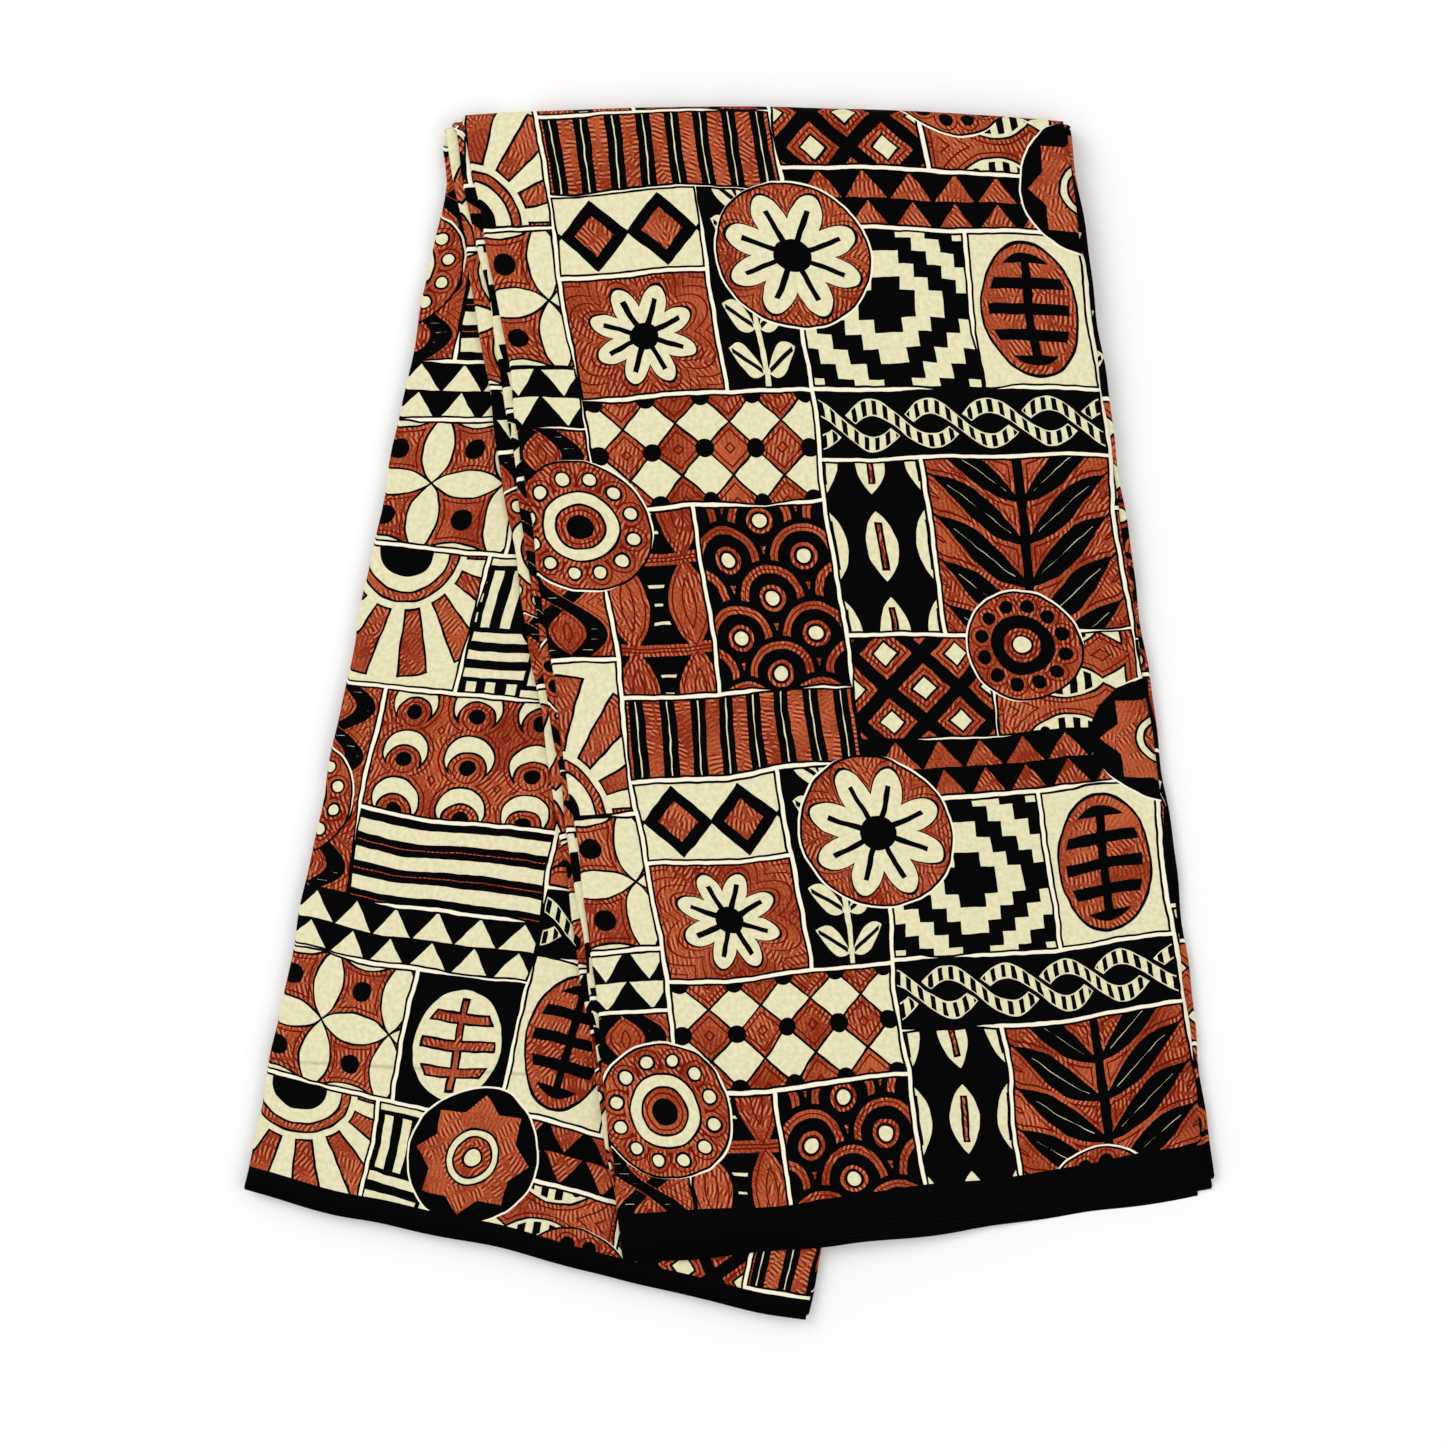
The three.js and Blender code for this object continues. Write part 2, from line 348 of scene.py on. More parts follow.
def cloth_mesh():
    """The closed sheet: its two sides, and the rim around its edge. UV map cloth is the place on the flat
    cloth, in metres, and attribute crease is how far a crease presses the cloth down, in millimetres."""
    stations = strip_stations()
    across, height, normal, number = section(stations)
    station = np.broadcast_to(stations[:, None], across.shape)
    sides = [
        on_strip(across + out * normal[0], height + out * normal[1], station)
        for out in (SHEET / 2, -SHEET / 2)
    ]
    below = np.minimum(np.minimum(sides[0][..., 2], sides[1][..., 2]), 0)
    for side in sides:
        side[..., 2] -= below  # the floor holds the cloth up
    points = np.concatenate([side.reshape(-1, 3) for side in sides]) * MM
    creased = [np.where(station >= 2, crease_at(side[..., :2], side[..., 2]), 0) for side in sides]

    quads, ring = side_faces(*across.shape)
    after = np.roll(ring, -1)
    rim = np.stack((after, ring, ring + across.size, after + across.size), axis=1)
    faces = np.concatenate((quads, quads[:, ::-1] + across.size, rim))
    flat = flat_places(across, height, number, stations).reshape(-1, 2) * MM

    mesh = bpy.data.meshes.new("folded_print_cloth")
    mesh.from_pydata(points.tolist(), [], faces.tolist())
    cloth_map = mesh.uv_layers.new(name="cloth")
    cloth_map.data.foreach_set("uv", flat[faces % across.size].ravel())
    bake_map = mesh.uv_layers.new(name="OFBake")
    bake_map.data.foreach_set("uv", bake_layout(quads, len(ring), number, stations).ravel())
    crease = mesh.attributes.new("crease", "FLOAT", "POINT")
    crease.data.foreach_set("value", np.ravel(creased))
    mesh.uv_layers.active = cloth_map
    cloth_map.active_render = True
    mesh.shade_smooth()
    mesh.update()
    mesh.validate()
    return mesh


class Number:
    """A number, vector or colour in a node tree. Python's own signs join it to others and to plain values."""

    def __init__(self, tree, socket):
        self.tree = tree
        self.socket = socket

    def math(self, operation, *others):
        node = self.tree.nodes.new("ShaderNodeMath")
        node.operation = operation
        for socket, value in zip(node.inputs, (self, *others)):
            join(self.tree, value, socket)
        return Number(self.tree, node.outputs[0])

    def __add__(self, other):
        return self.math("ADD", other)

    def __sub__(self, other):
        return self.math("SUBTRACT", other)

    def __rsub__(self, other):
        return (self * -1) + other

    def __mul__(self, other):
        return self.math("MULTIPLY", other)

    def __truediv__(self, other):
        return self.math("DIVIDE", other)

    def __abs__(self):
        return self.math("ABSOLUTE")

    def __mod__(self, other):
        return self.math("FLOORED_MODULO", other)

    def __lt__(self, other):
        return self.math("LESS_THAN", other)

    def __gt__(self, other):
        return self.math("GREATER_THAN", other)

    __radd__ = __add__


def join(tree, value, socket):
    if isinstance(value, Number):
        tree.links.new(value.socket, socket)
    else:
        socket.default_value = value


def least(first, second):
    return first.math("MINIMUM", second)


def most(first, second):
    return first.math("MAXIMUM", second)


def held(value):
    """The value kept from 0 to 1."""
    return most(least(value, 1.0), 0.0)


def ramp(value, start, slope):
    """0 up to the start, and from there up to 1 by the slope."""
    return held((value - start) * slope)


def floor(value):
    return value.math("FLOOR")


def sine(value):
    return value.math("SINE")


def is_number(value, whole):
    """1 where the value is this whole number."""
    return value.math("COMPARE", float(whole), 0.5)


def wave(value, cycle):
    return sine(value * (2 * math.pi / cycle))


def centred(value, pitch):
    """The place from the middle of each pitch, from minus half the pitch to half of it."""
    return value.math("WRAP", pitch / 2, -pitch / 2)


def near(value, pitch):
    """The distance from the nearest whole multiple of the pitch."""
    return abs(centred(value, pitch))


def zigzag(value, half_pitch):
    """A value that climbs to the half pitch and falls back to 0."""
    return value.math("PINGPONG", half_pitch)


def vector_math(tree, operation, *values):
    node = tree.nodes.new("ShaderNodeVectorMath")
    node.operation = operation
    for socket, value in zip(node.inputs, values):
        join(tree, value, socket)
    return Number(tree, node.outputs["Value" if operation == "LENGTH" else "Vector"])


def combine(x, y):
    node = x.tree.nodes.new("ShaderNodeCombineXYZ")
    for socket, value in zip(node.inputs, (x, y)):
        join(x.tree, value, socket)
    return Number(x.tree, node.outputs[0])


def separate(vector):
    node = vector.tree.nodes.new("ShaderNodeSeparateXYZ")
    join(vector.tree, vector, node.inputs[0])
    return [Number(vector.tree, socket) for socket in node.outputs]


def length(x, y):
    return vector_math(x.tree, "LENGTH", combine(x, y))


MIX_SOCKETS = {"FLOAT": (2, 3, 0), "VECTOR": (4, 5, 1), "RGBA": (6, 7, 2)}  # of the values and the result


def mix(tree, kind, share, first, second):
    node = tree.nodes.new("ShaderNodeMix")
    node.data_type = kind
    first_place, second_place, result = MIX_SOCKETS[kind]
    join(tree, share, node.inputs[0])
    join(tree, first, node.inputs[first_place])
    join(tree, second, node.inputs[second_place])
    return Number(tree, node.outputs[result])


def choose(share, first, second):
    """The first number where share is 0 and the second where it is 1."""
    return mix(share.tree, "FLOAT", share, first, second)


def noise(vector, lump, detail=1.0):
    """Noise whose lumps are about this long, as a value and a colour."""
    node = vector.tree.nodes.new("ShaderNodeTexNoise")
    node.noise_dimensions = "2D"
    join(vector.tree, vector, node.inputs["Vector"])
    node.inputs["Scale"].default_value = 1 / lump
    node.inputs["Detail"].default_value = detail
    return Number(vector.tree, node.outputs["Fac"]), Number(vector.tree, node.outputs["Color"])


def paint(red, green, blue):
    """A colour given as it shows on a screen, from 0 to 255, as light."""
    def light(value):
        value /= 255
        return value / 12.92 if value <= 0.04045 else ((value + 0.055) / 1.055) ** 2.4

    return (light(red), light(green), light(blue), 1.0)


# The motifs of the print. Each is given a place from the middle of its patch and half the patch's size, in
# millimetres, and returns how far outside its figure the place is, and how far outside the figure's accent.
# What a motif calls square turns a distance across a slanting edge into one square to it.
NO_ACCENT = 9.0
DIAGONAL = math.sqrt(0.5)


def leaf_branch(across, along, half_width, half_height):
    """A stem with leaves that slant up from it, each with its vein."""
    margin, pitch, slant, square = 4.5, 22.0, 0.8, 0.78
    half_stem, half_leaf, half_vein, vein_end = 1.9, 8.2, 0.7, 3.4
    out = abs(across)
    blade = sine(least(out / (half_width - margin), 1.0) * math.pi) * half_leaf
    off_vein = near(along - out * slant, pitch)
    leaf = (off_vein - blade) * square
    return least(leaf, out - half_stem), most(off_vein - half_vein, vein_end - blade)


def basket(across, along, half_width, half_height):
    """Blocks of three slats, which run across and along in turn."""
    block, half_slat = 30.0, 3.0
    turned = (floor(across / block) + floor(along / block)) % 2.0
    off_slat = near(choose(turned, across, along) + block / 6, block / 3)
    return off_slat - half_slat, None


def scallops(across, along, half_width, half_height):
    """Rows of round scales with rings, each row in front of the next."""
    rise, ring_pitch, half_ring, dot = 20.0, 10.0, 2.5, 4.2
    row = floor(along / rise)
    x = near(across + (row % 2.0) * rise, 2 * rise)
    y = along - row * rise
    in_front = length(x, y)
    behind = length(rise - x, rise - y)
    radius = choose(in_front > rise, in_front, behind)
    return near(radius, ring_pitch) - half_ring, radius - dot


def sawtooth(across, along, half_width, half_height):
    """Two rows of teeth."""
    half_tooth, square = 11.0, 0.5
    slope = zigzag(across, half_tooth) * (half_height / half_tooth)
    return (along % half_height - slope) * square, None


def diamonds(across, along, half_width, half_height):
    """A row of lozenges, each with another in it."""
    half_pitch, margin, border, square = 17.0, 3.5, 4.4, 0.7
    slope = zigzag(across, half_pitch) * ((half_height - margin) / half_pitch)
    lozenge = (abs(along) - slope) * square
    return lozenge, lozenge + border


def hourglass(across, along, half_width, half_height):
    """Lozenges that meet at their points, with a knot there."""
    pitch, knot = 27.0, 4.2
    x, y = near(across, pitch), near(along, pitch)
    return (x - y) * DIAGONAL, length(x, y) - knot


def trellis(across, along, half_width, half_height):
    """Slanting bars that cross, with a square in each gap."""
    pitch, half_bar, half_square = 25.0, 2.8, 4.6
    first = near((across + along) * DIAGONAL, pitch)
    second = near((across - along) * DIAGONAL, pitch)
    out = most(first, second)
    return pitch / 2 - half_bar - out, out - half_square


def steps(across, along, half_width, half_height):
    """Stepped lozenges, one around another, two steps wide and too far from 0 for a line around them."""
    step, cycle, middle, jump = 7.4, 4.0, 1.5, 2
    count = floor(abs(across) / step) + floor(abs(along) / step)
    return (count % cycle - middle) * jump, None


def petals(across, along, half_width, half_height):
    """Four petals at each crossing of a square net, with a dot in each square."""
    pitch, dot = 39.0, 4.8
    x, y = near(across, pitch), near(along, pitch)
    far, close = most(x, y), least(x, y)
    petal = length(pitch / 2 - far, pitch / 2 + close) - pitch * DIAGONAL
    return petal, length(pitch / 2 - x, pitch / 2 - y) - dot


def braid(across, along, half_width, half_height):
    """Two strands that go over each other in turn, with ticks across them."""
    margin, half_cycle, half_strand, gap = 8.5, 30.0, 4.7, 1.8
    tick_pitch, half_tick, border = 5.4, 0.6, 1.9
    sway = (half_width - margin) * sine(along * (math.pi / half_cycle))
    first, second = abs(across - sway), abs(across + sway)
    over = (zigzag(along, half_cycle) - half_cycle / 2).math("SIGN") * 0.5 + 0.5
    top, under = choose(over, first, second), choose(over, second, first)
    figure = least(top - half_strand, most(under - half_strand, (half_strand + gap) - top))
    return figure, most(near(along, tick_pitch) - half_tick, figure + border)


def stripes(across, along, half_width, half_height):
    """Bands, with a thread between each two."""
    pitch, half_band, half_thread = 15.0, 4.3, 0.9
    return near(along, pitch) - half_band, near(along + pitch / 2, pitch) - half_thread


def star(across, along, half_width, half_height):
    """A star of eight points, with a ring and a dot."""
    margin, upright, slanting, reach = 6, 1.3, 0.92, 0.98
    ring, half_ring, dot = 0.42, 2.0, 0.17
    radius = least(half_width, half_height) - margin
    x, y = abs(across), abs(along)
    squares = least(most(x, y) * upright, (x + y) * slanting)
    out = length(x, y)
    off_ring = abs(out - radius * ring) - half_ring
    return squares - radius * reach, least(off_ring, out - radius * dot)


def crescents(across, along, half_width, half_height):
    """Rows of moons, each around a dot."""
    pitch, rise = 33.0, 28.0
    moon, hollow, hollow_rise, dot, dot_rise = 12.4, 9.4, 6.2, 3.6, 5.0
    x, y = centred(across, pitch), centred(along, rise)
    figure = most(length(x, y) - moon, hollow - length(x, y - hollow_rise))
    return figure, length(x, y - dot_rise) - dot


def drums(across, along, half_width, half_height):
    """Waisted drums with bands around them."""
    pitch, rise, half_waist, flare, half_drum = 30.0, 46.0, 4.2, 0.018, 19.5
    band_pitch, half_band, border = 9.5, 1.3, 1.5
    x, y = near(across, pitch), near(along, rise)
    drum = most(x - (y * y * flare + half_waist), y - half_drum)
    return drum, most(near(y, band_pitch) - half_band, drum + border)


def pods(across, along, half_width, half_height):
    """Rows of pods, each between two round sides, with a slit."""
    pitch, rise, side_centre, side_radius = 24.0, 45.0, 18.6, 26.6
    half_slit, slit_end = 1.2, 12
    x, y = near(across, pitch), near(along, rise)
    return length(x + side_centre, y) - side_radius, most(x - half_slit, y - slit_end)


def rosette(across, along, half_width, half_height):
    """A flower of eight petals, with a vein in each and an eye."""
    margin, half_petals, petal_depth, square = 4.5, 4.0, 0.42, 0.8
    half_vein, vein_end, eye = 0.7, 0.72, 0.24
    radius = least(half_width, half_height) - margin
    out = length(across, along)
    turn = along.math("ARCTAN2", across) * half_petals
    petal = abs(sine(turn)) * petal_depth + (1 - petal_depth)
    off_vein = abs(sine(turn + math.pi / 2)) * out * (1 / half_petals)
    vein = most(off_vein - half_vein, out - radius * vein_end)
    return (out - radius * petal) * square, least(out - radius * eye, vein)


def target(across, along, half_width, half_height):
    """A ring around a dot, with beads around it."""
    margin, beads, bead_place, bead = 4.5, 12, 0.84, 0.12
    ring, half_ring, dot = 0.5, 0.11, 0.2
    radius = least(half_width, half_height) - margin
    out = length(across, along)
    turn = centred(along.math("ARCTAN2", across) + math.pi / beads, 2 * math.pi / beads)
    off_bead = length(out - radius * bead_place, turn * out) - radius * bead
    off_ring = abs(out - radius * ring) - radius * half_ring
    return least(off_bead, off_ring), out - radius * dot


def fan(across, along, half_width, half_height):
    """Blades around a ring and a dot at the foot of the patch."""
    foot, margin, blades, blade_start = 3, 9, 13.0, 0.46
    ring, half_ring, dot = 0.36, 2.3, 0.2
    rise = along + half_height - foot
    out = length(across, rise)
    reach = half_height * 2 - margin
    off_blade = sine(rise.math("ARCTAN2", across) * blades) * out / blades
    spread = most(most(off_blade, out - reach), reach * blade_start - out)
    off_ring = abs(out - reach * ring) - half_ring
    return least(spread, off_ring), out - reach * dot


def fish(across, along, half_width, half_height):
    """Rows of fish, each with an eye and stripes."""
    pitch, rise, start = 66.0, 28.0, 3
    body_centre, side_centre, side_radius = 4, 17, 26.5
    tail_tip, tail_flare, tail_end, square = 13, 0.62, 27, 0.85
    eye_across, eye_rise, eye, gill = 16, 1, 1.9, 9
    stripe_pitch, half_stripe, border = 7.5, 1.3, 2.6
    x, y = centred(across + start, pitch), centred(along, rise)
    body = length(x - body_centre, abs(y) + side_centre) - side_radius
    tail = most((abs(y) + (x + tail_tip) * tail_flare) * square, x * -1 - tail_end)
    off_eye = length(x - eye_across, y - eye_rise) - eye
    marks = most(most(near(x, stripe_pitch) - half_stripe, body + border), x - gill)
    return least(body, tail), least(off_eye, marks)


def shield(across, along, half_width, half_height):
    """An oval with a stem and bars."""
    side_margin, end_margin = 5.5, 6
    half_stem, bar_pitch, half_bar, border = 1.7, 14.0, 2.5, 4.2
    wide, high = half_width - side_margin, half_height - end_margin
    x, y = abs(across), abs(along)
    oval = (length(x / wide, y / high) - 1.0) * wide
    bars = least(x - half_stem, near(y, bar_pitch) - half_bar)
    return oval, most(bars, oval + border)


MOTIFS = (
    leaf_branch, basket, scallops, sawtooth, diamonds, hourglass, trellis, steps, petals, braid,
    stripes, star, crescents, drums, pods, rosette, target, fan, fish, shield,
)
MOTIF_INPUTS = ("Across", "Along", "Half width", "Half height")
MOTIF_OUTPUTS = ("Figure", "Accent")


def motif_group(draw):
    """A shader node group whose outputs are what a motif returns for its inputs."""
    tree = bpy.data.node_groups.new("motif " + draw.__name__.replace("_", " "), "ShaderNodeTree")
    for label in MOTIF_INPUTS:
        tree.interface.new_socket(label, in_out="INPUT", socket_type="NodeSocketFloat")
    for label in MOTIF_OUTPUTS:
        tree.interface.new_socket(label, in_out="OUTPUT", socket_type="NodeSocketFloat")
    entry, leave = tree.nodes.new("NodeGroupInput"), tree.nodes.new("NodeGroupOutput")
    numbers = [Number(tree, socket) for socket in entry.outputs[: len(MOTIF_INPUTS)]]
    for value, socket in zip(draw(*numbers), leave.inputs):
        join(tree, NO_ACCENT if value is None else value, socket)
    return tree


def use_group(tree, group, *values):
    node = tree.nodes.new("ShaderNodeGroup")
    node.node_tree = group
    for socket, value in zip(node.inputs, values):
        join(tree, value, socket)
    return [Number(tree, socket) for socket in node.outputs]


# One repeat of the print, in millimetres, as it is cut up: into blocks across the cloth, each dropped along
# it, and each block into parts along it or across it, down to single patches. A patch has a motif and the
# inks of its ground, figure and accent.
CREAM, RUST, BLACK = range(3)


def patch(motif, ground, figure, accent, turned=False):
    return dict(motif=motif, inks=(ground, figure, accent), turned=turned)


def side_by_side(*parts):
    """Parts across the cloth, each with its width."""
    return dict(axis=0, parts=parts)


def stacked(*parts):
    """Parts along the cloth, each with its height."""
    return dict(axis=1, parts=parts)


FIRST_BLOCK = stacked(
    (92, side_by_side((96, patch(leaf_branch, RUST, BLACK, CREAM)), (50, patch(pods, BLACK, CREAM, RUST)))),
    (36, patch(braid, BLACK, CREAM, BLACK, turned=True)),
    (84, side_by_side((58, patch(shield, CREAM, RUST, BLACK)), (88, patch(steps, CREAM, BLACK, BLACK)))),
    (30, patch(sawtooth, BLACK, RUST, RUST)),
    (55, side_by_side((74, patch(fish, RUST, CREAM, BLACK)), (72, patch(trellis, RUST, BLACK, CREAM)))),
)
FLOWER_AND_DIAMONDS = stacked(
    (62, patch(rosette, RUST, CREAM, BLACK)),
    (42, patch(diamonds, CREAM, BLACK, RUST)),
)
SECOND_BLOCK = stacked(
    (104, side_by_side((44, patch(leaf_branch, BLACK, CREAM, BLACK)), (74, FLOWER_AND_DIAMONDS))),
    (40, patch(stripes, BLACK, RUST, CREAM, turned=True)),
    (96, side_by_side((70, patch(scallops, RUST, BLACK, CREAM)), (48, patch(drums, RUST, BLACK, CREAM)))),
    (57, patch(hourglass, RUST, CREAM, BLACK)),
)
MOONS_AND_STRIPES = stacked(
    (70, patch(crescents, RUST, CREAM, BLACK)),
    (48, patch(stripes, BLACK, CREAM, RUST)),
)
THIRD_BLOCK = stacked(
    (76, side_by_side((84, patch(fan, CREAM, RUST, BLACK)), (64, patch(basket, BLACK, CREAM, CREAM)))),
    (118, side_by_side((46, patch(braid, RUST, BLACK, CREAM)), (102, MOONS_AND_STRIPES))),
    (32, patch(sawtooth, CREAM, BLACK, BLACK)),
    (71, side_by_side((92, patch(petals, RUST, CREAM, BLACK)), (56, patch(shield, BLACK, CREAM, RUST)))),
)
BLOCKS = (
    dict(width=146, drop=0, parts=FIRST_BLOCK),
    dict(width=118, drop=127, parts=SECOND_BLOCK),
    dict(width=148, drop=215, parts=THIRD_BLOCK),
)
REPEAT_WIDTH = sum(block["width"] for block in BLOCKS)
REPEAT_HEIGHT = 297
MEDALLIONS = (  # printed over the patches
    dict(middle=(146, 196), radius=39, motif=rosette, inks=(RUST, CREAM, BLACK)),
    dict(middle=(272, 62), radius=34, motif=target, inks=(RUST, CREAM, BLACK)),
    dict(middle=(404, 236), radius=36, motif=star, inks=(BLACK, RUST, CREAM)),
    dict(middle=(56, 290), radius=30, motif=target, inks=(RUST, BLACK, CREAM)),
)
GUTTER = 0.95  # half the width of the pale line between two patches
GUTTER_FADE = dict(start=0.36, slope=14)  # by the slow noise below, which leaves the line out here and there
KEYLINE = 1.15  # the black line along it
OUTLINE = 0.6  # half the width of the black line around a figure
OUTLINE_SWING = 0.5  # from the thinnest of that half width to the thickest
FRONT_BAND = dict(width=13.6, swell=0.8)  # of black, along the front selvedge
BACK_BAND = dict(width=7.6, swell=1.6)

# A hand cuts no line quite straight: the size of the lumps in the noise that moves the lines, and their reach
SLOW_WOBBLE = dict(lump=95, reach=10)
QUICK_WOBBLE = dict(lump=11, reach=1.3)

# The grain of the cream, and the painted shade along a crease: a darker line that stands in for the shadow in
# its trough
GRAIN = 2.6
GRAIN_DETAIL = 2.0
GRAIN_TONE = dict(start=0.3, slope=2.4)
# How far the painted crease shade takes the cream towards its darker colour
CREASE_SHADE_STRENGTH = 0.7

# The ticks of the pen in the rust
AREA_SIZE = 19  # of the areas whose ticks lie one way
AREA_LEAN = 0.9  # of a quarter turn, from the least lean to the most
TICK_PITCH = 2.25  # from tick to tick
TICK_ROW = 8.5  # from one row of ticks to the next
HALF_TICK = 0.43 * TICK_ROW
TICK_TAPER = 1.1
SHAKE = 6.5  # lumps of the noise that makes the ticks uneven
PITCH_SHAKE = 4.5
ROW_SHAKE = 7
TICK_GAPS = dict(start=0.3, slope=6)  # by the same noise
FAINT_AREAS = 0.3  # share of the areas whose ticks are faint
FAINT = 0.3

# How deep the rust is: in slow changes, in a fine grain, and in the tones that the ticks add
SLOW_DEPTH = 34
SLOW_DEPTH_DETAIL = 3.0
SLOW_TONE = dict(start=0.36, slope=2.4)
FINE_DEPTH = 1.3
FINE_TONE = dict(start=0.45, slope=1.5)
PALE_TONE = dict(start=0.15, strength=0.8)
DARK_TONE = dict(start=0.2, slope=2.2)
DARK_STRENGTH = 0.9

# The cut lines that echo a figure in a rust ground
ECHO = 5.2  # from line to line
HALF_ECHO_LINE = 0.42
ECHO_START = 1.0  # past the figure

# The cotton's surface
WARP_PITCH, WEFT_PITCH = 0.55, 0.6
WEAVE_DEPTH = 0.06
WEAVE_STRENGTH = 0.35
ROUGHNESS = 0.76
ROUGHNESS_SWING = 0.12
GLOSS = 0.03


def float_all(values):
    return tuple(float(value) for value in values)


def in_patch(tree, x, y, corner, extent, part):
    """The middle of the patch at a place with its turn, half its size with its motif, and its inks."""
    if "motif" in part:
        half = (extent[0] / 2, extent[1] / 2)
        middle = (corner[0] + half[0], corner[1] + half[1], -float(part["turned"]))
        return middle, (*half, float(MOTIFS.index(part["motif"]))), float_all(part["inks"])
    axis = part["axis"]
    place = (x, y)[axis]
    found, start = None, corner[axis]
    for size, inner in part["parts"]:
        inner_corner, inner_extent = list(corner), list(extent)
        inner_corner[axis], inner_extent[axis] = start, size
        new = in_patch(tree, x, y, inner_corner, inner_extent, inner)
        if found is not None:
            mask = place > float(start)
            new = [mix(tree, "VECTOR", mask, *pair) for pair in zip(found, new)]
        found, start = new, start + size
    return found


def patch_at(tree, place):
    """What is printed at a place on the flat cloth: the place from the middle of its patch with its turn,
    half the patch's size with its motif, its inks, and the distance from the patch's edge."""
    flat_x, flat_y, _ = separate(place)
    x = flat_x % REPEAT_WIDTH
    drop, start = float(BLOCKS[0]["drop"]), BLOCKS[0]["width"]
    for block in BLOCKS[1:]:
        drop = choose(x > float(start), drop, float(block["drop"]))
        start += block["width"]
    y = (flat_y - drop) % REPEAT_HEIGHT
    blocks = side_by_side(*((block["width"], block["parts"]) for block in BLOCKS))
    middle, size, inks = in_patch(tree, x, y, (0, 0), (REPEAT_WIDTH, REPEAT_HEIGHT), blocks)
    here = vector_math(tree, "SUBTRACT", combine(x, y), middle)
    spare = vector_math(tree, "SUBTRACT", size, vector_math(tree, "ABSOLUTE", here))
    spare_x, spare_y, _ = separate(spare)
    edge = least(spare_x, spare_y)

    half_repeat = (REPEAT_WIDTH / 2, REPEAT_HEIGHT / 2, 1.0)
    for medallion in MEDALLIONS:
        radius = medallion["radius"]
        moved = vector_math(tree, "SUBTRACT", place, (*medallion["middle"], 0.0))
        local = vector_math(tree, "WRAP", moved, half_repeat, tuple(-half for half in half_repeat))
        inside = radius - vector_math(tree, "LENGTH", local)
        mask = inside > 0.0
        here = mix(tree, "VECTOR", mask, here, local)
        size = mix(tree, "VECTOR", mask, size, (radius, radius, float(MOTIFS.index(medallion["motif"]))))
        inks = mix(tree, "VECTOR", mask, inks, float_all(medallion["inks"]))
        edge = choose(mask, edge, inside)
    return here, size, inks, edge


def motif_at(tree, here, size):
    """How far outside the figure and its accent a place in a patch is, and whether the patch is turned."""
    x, y, turned = separate(here)
    half_width, half_height, motif = separate(size)
    across, along = choose(turned, x, y), choose(turned, y, x)
    wide, high = choose(turned, half_width, half_height), choose(turned, half_height, half_width)
    figure = accent = NO_ACCENT
    for index, draw in enumerate(MOTIFS):
        this_figure, this_accent = use_group(tree, motif_group(draw), across, along, wide, high)
        mask = is_number(motif, index)
        figure = choose(mask, figure, this_figure)
        accent = choose(mask, accent, this_accent)
    return figure, accent, turned


# The inks
CREAM_PALE, CREAM_DEEP = paint(234, 228, 192), paint(219, 212, 170)
# Painted shade along a crease: darker cream that stands in for the shadow in its trough
CREAM_CREASE_SHADE = paint(158, 148, 108)  # along a crease
GUTTER_CREAM = paint(247, 239, 214)
RUST_PALE, RUST_MIDDLE = paint(214, 132, 96), paint(186, 90, 54)
RUST_DEEP, RUST_CUT = paint(134, 42, 18), paint(102, 17, 2)
BLACK_INK = paint(4, 3, 4)


def wobble(flat, lump, reach):
    """How far a hand is off its line, and the noise behind it."""
    _, lumps = noise(flat, lump)
    centred_lumps = vector_math(flat.tree, "SUBTRACT", lumps, (0.5, 0.5, 0.5))
    return vector_math(flat.tree, "MULTIPLY", centred_lumps, (reach, reach, 0)), lumps


def cream_ink(tree, flat):
    """Cream with the grain of the cotton, with painted shade along the creases."""
    grain, _ = noise(flat, GRAIN, GRAIN_DETAIL)
    cream = mix(tree, "RGBA", ramp(grain, **GRAIN_TONE), CREAM_DEEP, CREAM_PALE)
    crease = tree.nodes.new("ShaderNodeAttribute")
    crease.attribute_name = "crease"
    # Painted shade: the cream darkens where a crease presses the cloth down most
    crease_shade = held(Number(tree, crease.outputs["Fac"])) * CREASE_SHADE_STRENGTH
    return mix(tree, "RGBA", crease_shade, cream, CREAM_CREASE_SHADE)


